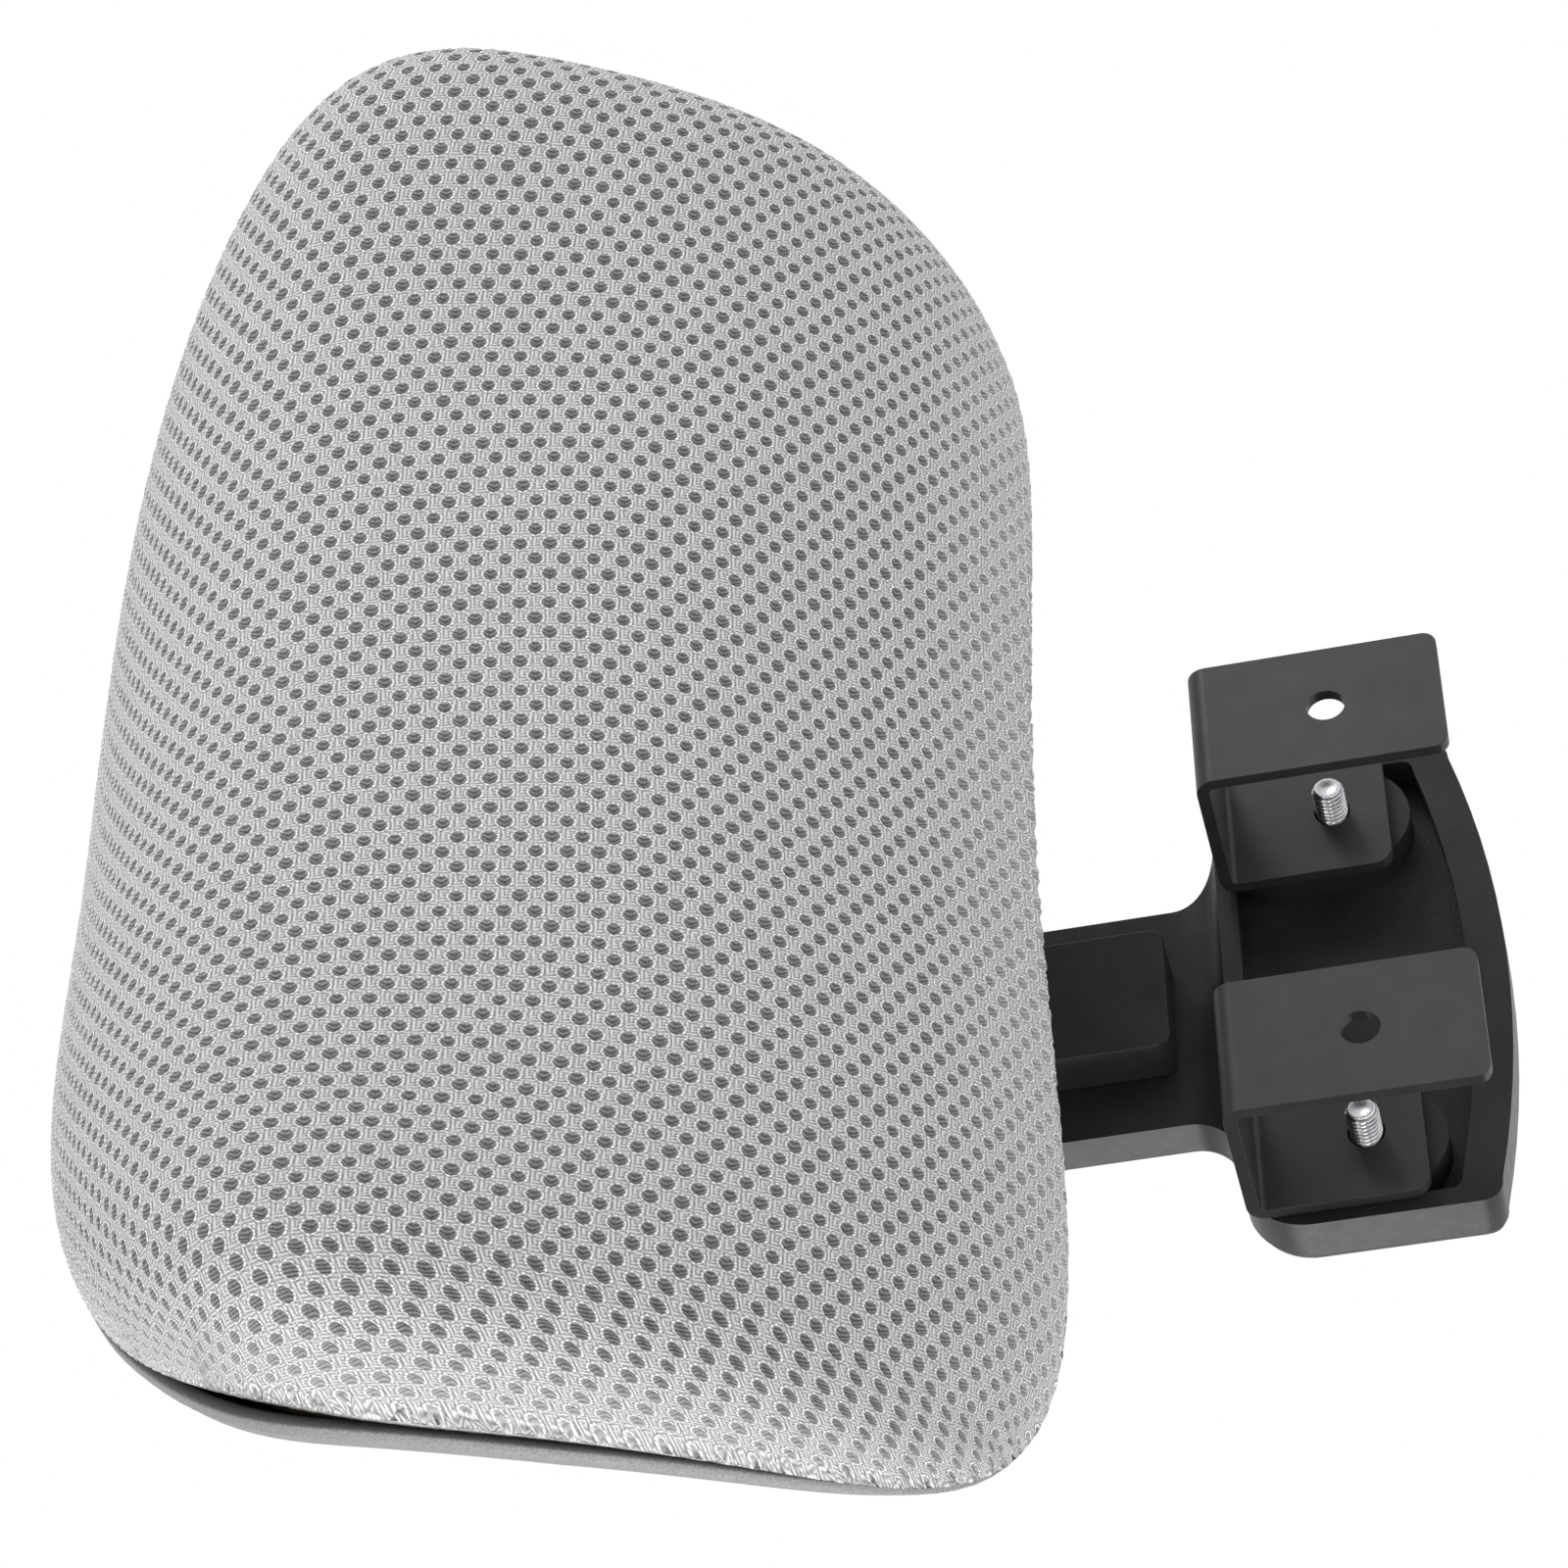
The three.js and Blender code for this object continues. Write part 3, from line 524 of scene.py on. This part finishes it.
def mesh_cover():
    """The cover as a net of cells, each a hole with its strand rising to a crest between the holes."""
    middles, share = cell_middles()
    outline = cell_outline()
    sides = len(outline)
    rng = np.random.default_rng(7)
    angles = np.arctan2(outline[:, 1], outline[:, 0])
    sizes = rng.uniform(0.93, 1.07, len(middles))
    sizes *= np.interp(share, [HEM_ROW_START, 1.0], [1, HEM_HOLE_SIZE])
    shift = rng.uniform(-0.07, 0.07, (len(middles), 2)) * MM
    crest = (middles[:, None, :] + outline[None]).reshape(-1, 2)
    keys = np.round(crest / (0.01 * MM)).astype(np.int64)
    _, first, shared = np.unique(keys, axis=0, return_index=True, return_inverse=True)
    crest = crest[first]
    shared = shared.reshape(len(middles), sides)
    round_hole = np.stack([HOLE_ACROSS * np.cos(angles), HOLE_ALONG * np.sin(angles)], axis=1)
    hole = middles[:, None, :] + shift[:, None, :] + sizes[:, None, None] * round_hole[None]
    hole = hole.reshape(-1, 2)
    floor = middles + shift
    flat = np.concatenate([crest, hole, floor])
    drop = np.concatenate([
        STRAND_DROP + rng.uniform(-0.06, 0.06, len(crest)) * MM,
        rng.uniform(-0.06, 0.06, len(hole)) * MM,
        np.full(len(floor), FLOOR_DROP),
    ])
    across, up = laid_on_cushion(flat)

    # the holes get shallower towards the hem, and their floors get painted light there
    drop *= np.clip((1.02 - share_of(across, up)) / 0.03, 0.3, 1)
    points = cushion_point(across, up) - cushion_normal(across, up) * drop[:, None]
    height = rim_point(across, up)[1] - points[:, 1]
    near_hem = np.clip(1.1 - height / HEM_FADE, 0, 1)

    faces, ring = [], []
    turn = np.arange(sides + 1) / sides
    hole_start, floor_start = len(crest), len(crest) + len(hole)
    for c in range(len(middles)):
        for k in range(sides):
            n = (k + 1) % sides
            rim_a, rim_b = hole_start + c * sides + k, hole_start + c * sides + n
            faces.append((rim_a, rim_b, shared[c, n], shared[c, k]))
            ring += [(turn[k], 0.5), (turn[k + 1], 0.5), (turn[k + 1], 1), (turn[k], 1)]
            faces.append((floor_start + c, rim_b, rim_a))
            ring += [((turn[k] + turn[k + 1]) / 2, 0), (turn[k + 1], 0.5), (turn[k], 0.5)]
    piece = mesh_object("cushion_mesh_cover", points, faces, LOOKS["mesh_fabric"])
    corners = point_of_each_corner(piece)
    add_map(piece, "ring", np.array(ring))
    add_map(piece, "weave", flat[corners] / MM)
    add_map(piece, "hem", np.stack([near_hem[corners], np.zeros(len(corners))], axis=1))
    return piece


def ring_solid(name, solids, material):
    """Closed solids, each through rings of points; a ring of one point closes an end."""
    points, faces = [], []
    for rings in solids:
        starts = []
        for ring in rings:
            starts.append(len(points))
            points += list(ring)
        for r in range(len(rings) - 1):
            a, b = starts[r], starts[r + 1]
            na, nb = len(rings[r]), len(rings[r + 1])
            count = max(na, nb)
            for i in range(count):
                n = (i + 1) % count
                if na == 1:
                    faces.append((a, b + i, b + n))
                elif nb == 1:
                    faces.append((a + n, a + i, b))
                else:
                    faces.append((a + n, a + i, b + i, b + n))
    return mesh_object(name, points, faces, material)


def around(count):
    return np.linspace(0, 2 * math.pi, count, endpoint=False)


def outline_shares(count):
    """Places round the pad's outline: across and up."""
    angle = around(count)
    c, s = np.cos(angle), np.sin(angle)
    size = share_of(c, s)
    return c / size, s / size


def cushion_body():
    """The padded body under the cover, a little smaller than it."""
    across, up = outline_shares(128)
    rings = [[cushion_point(np.array(0.0), np.array(0.0), BODY_INSET)]]
    for share in np.sin(np.linspace(0, 1, 33)[1:] * math.pi / 2):
        rings.append(cushion_point(across * share, up * share, BODY_INSET))
    for share in (1.01, 1.025, 1.042):
        rings.append(cushion_point(across * share, up * share, BODY_INSET))
    for share in (0.9, 0.7, 0.45, 0.2, 0.0):
        x, y, z = rim_point(across * share, up * share)
        back = shell_depth(share) - SHELL_THICKNESS - BOARD_THICKNESS - 1.5 * MM
        ring = np.stack([x, y + back, z], axis=-1)
        rings.append(ring if share else ring[:1])
    return ring_solid("cushion_body", [rings], LOOKS["foam"])


def shell_ring(across, up, reach, back):
    """A ring of the shell, drawn in along the bottom and reaching out past the cover at the ends."""
    flare = SHELL_FLARE * upper_end(across, up)
    reach = reach * (1 + flare - SHELL_TUCK * np.clip(0.1 - 1.6 * up, 0, 1))
    x, y, z = rim_point(across * reach, up * reach)
    return np.stack([x, y + back, z], axis=-1)


def hinge_seat():
    """The raised flat on the shell's back that the hinge bracket is screwed to."""
    low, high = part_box("hinge_bracket")
    x, z = (low.x + high.x) / 2, (low.z + high.z) / 2
    half_width, half_height = (high.x - low.x) / 2 + 2 * MM, (high.z - low.z) / 2 + 2 * MM
    radius = 6 * MM
    angle = (np.arange(48) + 0.5) / 48 * 2 * math.pi

    def ring(inset, y):
        c, s = np.cos(angle), np.sin(angle)
        right = x + np.sign(c) * (half_width - radius) + (radius - inset) * c
        upward = z + np.sign(s) * (half_height - radius) + (radius - inset) * s
        return np.stack([right, np.full(48, y), upward], axis=-1)

    front, back = low.y - 4 * MM, low.y - 0.3 * MM
    middle = np.array([[x, front, z]])
    side = [ring(0, front), ring(0, back - 0.5 * MM)]
    rounding = [ring(0.15 * MM, back - 0.15 * MM), ring(0.5 * MM, back)]
    return [middle, *side, *rounding, np.array([[x, back, z]])]


def pad_shell():
    """The moulded back shell, with a rounded lip round the cushion."""
    across, up = outline_shares(192)
    soft = 0.6 * MM
    rings = []
    for share in (0.0, 0.2, 0.4, 0.6, 0.75, 0.85, 0.92, 0.95):
        ring = shell_ring(across, up, share, shell_depth(share) - SHELL_THICKNESS)
        rings.append(ring if share else ring[:1])
    rings.append(shell_ring(across, up, 0.965, 0.3 * MM))
    rings.append(shell_ring(across, up, 0.972, 0.0))
    for turn in np.linspace(0, math.pi / 2, 4):
        reach = 1 - 0.006 * (1 - math.sin(turn))
        rings.append(shell_ring(across, up, reach, soft * (1 - math.cos(turn))))
    for turn in np.linspace(0, math.pi / 2, 4):
        reach = 1 - 0.006 * (1 - math.cos(turn))
        rings.append(shell_ring(across, up, reach, SHELL_RIM - soft * (1 - math.sin(turn))))
    for share in (0.985, 0.96, 0.93, 0.89, 0.83, 0.75, 0.65, 0.52, 0.38, 0.2, 0.0):
        ring = shell_ring(across, up, share, shell_depth(share))
        rings.append(ring if share else ring[:1])
    return ring_solid("pad_shell", [rings, hinge_seat()], LOOKS["grey_plastic"])


# ---- threaded screws ----
def thread_radius(y, angle, tip):
    """An M6 thread's radius, run out at the chamfered tip."""
    phase = (y / THREAD_PITCH + angle / (2 * math.pi)) % 1
    crest = np.clip(2.4 * np.abs(phase - 0.5) - 0.1, 0, 1)
    radius = THREAD_MAJOR - THREAD_DEPTH * crest
    return np.minimum(radius, THREAD_MAJOR - 0.75 * MM + np.maximum(y - tip, 0))


def map_roots(piece, x, z, seat):
    """How deep each corner lies in the thread, as a map: 0 on a crest and 1 in a root."""
    places = np.array([tuple(vertex.co) for vertex in piece.data.vertices])
    depth = (THREAD_MAJOR - np.hypot(places[:, 0] - x, places[:, 2] - z)) / THREAD_DEPTH
    tip = places[:, 1].min()
    threaded = (places[:, 1] > tip + 0.3 * MM) & (places[:, 1] < seat)
    depth = np.where(threaded, np.clip(depth, 0, 1), 0)
    corners = point_of_each_corner(piece)
    add_map(piece, "root", np.stack([depth[corners], np.zeros(len(corners))], axis=1))


def clamp_screw(side):
    """A socket-head screw with a real helical thread, in its CAD node's place."""
    node = side + "_clamp_screw"
    low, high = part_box(node)
    x, z = (low.x + high.x) / 2, (low.z + high.z) / 2
    head = (high.x - low.x) / 2
    seat = high.y - 6 * MM
    angle = around(48)

    def ring(radius, y):
        right, upward = x + radius * np.cos(angle), z + radius * np.sin(angle)
        return np.stack([right, np.full(48, y), upward], axis=-1)

    rings = [ring(0, low.y + 0.25 * MM)[:1], ring(0.9 * MM, low.y + 0.2 * MM), ring(1.7 * MM, low.y)]
    for y in np.arange(low.y + 0.02 * MM, seat - 0.2 * MM, THREAD_PITCH / 10):
        rings.append(ring(thread_radius(y, angle, low.y), y))
    knurl = head - 0.12 * MM * (1 + np.cos(24 * angle))
    rings += [ring(THREAD_MAJOR - 0.1 * MM, seat), ring(head - 0.3 * MM, seat)]
    rings += [ring(knurl, seat + 0.3 * MM), ring(knurl, high.y - 1.1 * MM)]
    rings += [ring(head - 0.05 * MM, high.y - 0.9 * MM), ring(head - 0.1 * MM, high.y - 0.5 * MM)]
    rings.append(ring(head - 0.6 * MM, high.y))
    hexagon = 2.5 * MM / np.cos((angle + math.pi / 6) % (math.pi / 3) - math.pi / 6)
    rings += [ring(hexagon + 0.2 * MM, high.y), ring(hexagon, high.y - 0.2 * MM)]
    rings.append(ring(hexagon, high.y - 3 * MM))
    rings.append(ring(0, high.y - 4 * MM)[:1])
    piece = ring_solid(side + "_threaded_screw", [rings], LOOKS["zinc_steel"])
    piece.data.set_sharp_from_angle(angle=math.radians(38))
    map_roots(piece, x, z, seat)
    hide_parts(node)
    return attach(piece, side + "_screw")


# ---- CAD nodes that stay ----
EDGE_WIDTH = {
    "t_bracket": 0.5 * MM,
    "slider_bar": 0.7 * MM,
    "left_clip": 0.35 * MM,
    "right_clip": 0.35 * MM,
}
OTHER_EDGE_WIDTH = 0.15 * MM


def finish_cad_nodes():
    """Each node that stays gets its slot's material, and its hard edges are eased."""
    slots = {s["node"]: s["material_slot"] for s in frame["record"]["subparts"]}
    for name, node in frame["nodes"].items():
        node.data.materials.clear()
        node.data.materials.append(LOOKS[slots[name]])
        node.data.shade_smooth()
        weld = node.modifiers.new("weld", "WELD")
        weld.merge_threshold = 0.002 * MM
        merge = node.modifiers.new("merge_flats", "DECIMATE")
        merge.decimate_type = "DISSOLVE"
        merge.angle_limit = math.radians(0.5)
        ease = node.modifiers.new("ease_edges", "BEVEL")
        ease.width = EDGE_WIDTH.get(name, OTHER_EDGE_WIDTH)
        ease.segments = 2
        ease.limit_method = "ANGLE"
        ease.angle_limit = math.radians(35)
        ease.harden_normals = True
        node.modifiers.new("weigh_normals", "WEIGHTED_NORMAL").keep_sharp = True


# ---- stage ----
def soft_light(name, place, target, size, power):
    light = bpy.data.lights.new(name, "AREA")
    light.shape = "DISK"
    light.size = size
    light.energy = power
    lamp = bpy.data.objects.new(name, light)
    bpy.context.scene.collection.objects.link(lamp)
    lamp.location = place
    aim = Vector(target) - Vector(place)
    lamp.rotation_mode = "QUATERNION"
    lamp.rotation_quaternion = aim.to_track_quat("-Z", "Y")


def pale_world():
    world = bpy.data.worlds.new("studio")
    world.use_nodes = True
    background = world.node_tree.nodes["Background"]
    background.inputs["Color"].default_value = (1, 1, 1, 1)
    background.inputs["Strength"].default_value = 1.0
    bpy.context.scene.world = world


def pale_floor():
    half = 4.0
    height = -0.42
    corners = [(-half, -half, height), (half, -half, height), (half, half, height), (-half, half, height)]
    material, tree, shader = new_material("pale_floor")
    shade = ramp(tree, noise(tree, 2, 2), [(0.3, 0.8), (0.7, 0.84)])
    tree.links.new(shade, shader.inputs["Base Color"])
    shader.inputs["Roughness"].default_value = 0.9
    floor = mesh_object("floor", corners, [(0, 1, 2, 3)], material)


def photo_camera():
    """The camera stands low in front of the right end, turned on its side."""
    camera = bpy.data.cameras.new("camera")
    camera.sensor_width = 36
    camera.lens = 104.6
    camera.clip_start, camera.clip_end = 0.05, 50
    stand = bpy.data.objects.new("camera", camera)
    bpy.context.scene.collection.objects.link(stand)
    right = Vector((0.0015, 0.2329, -0.9725))
    down = Vector((-0.7401, 0.6543, 0.1555))
    forward = Vector((0.6725, 0.7195, 0.1733))
    turn = Matrix((right, -down, -forward)).transposed().to_4x4()
    stand.matrix_world = Matrix.Translation((-0.5272, -0.6352, -0.0680)) @ turn
    bpy.context.scene.camera = stand


# ---- build ----
cover = mesh_cover()
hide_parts("mesh_cover")
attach(cover, "pad")

body = cushion_body()
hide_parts("foam_core")
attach(body, "pad")

shell = pad_shell()
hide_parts("back_shell")
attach(shell, "pad")

for side in ("left", "right"):
    clamp_screw(side)
finish_cad_nodes()

pale_world()
pale_floor()
photo_camera()
soft_light("key", (-1.0, -1.4, 1.5), (0, -0.06, 0.08), 0.9, 19)
soft_light("end_light", (-1.7, -0.3, 0.1), (0, -0.02, 0.05), 0.7, 9)
soft_light("back_light", (-1.0, 1.15, 0.25), (0, 0, 0), 1.0, 15)
soft_light("top_light", (1.4, -0.7, 0.5), (0, -0.06, 0.08), 0.6, 12)
bpy.context.scene.view_settings.view_transform = "Standard"
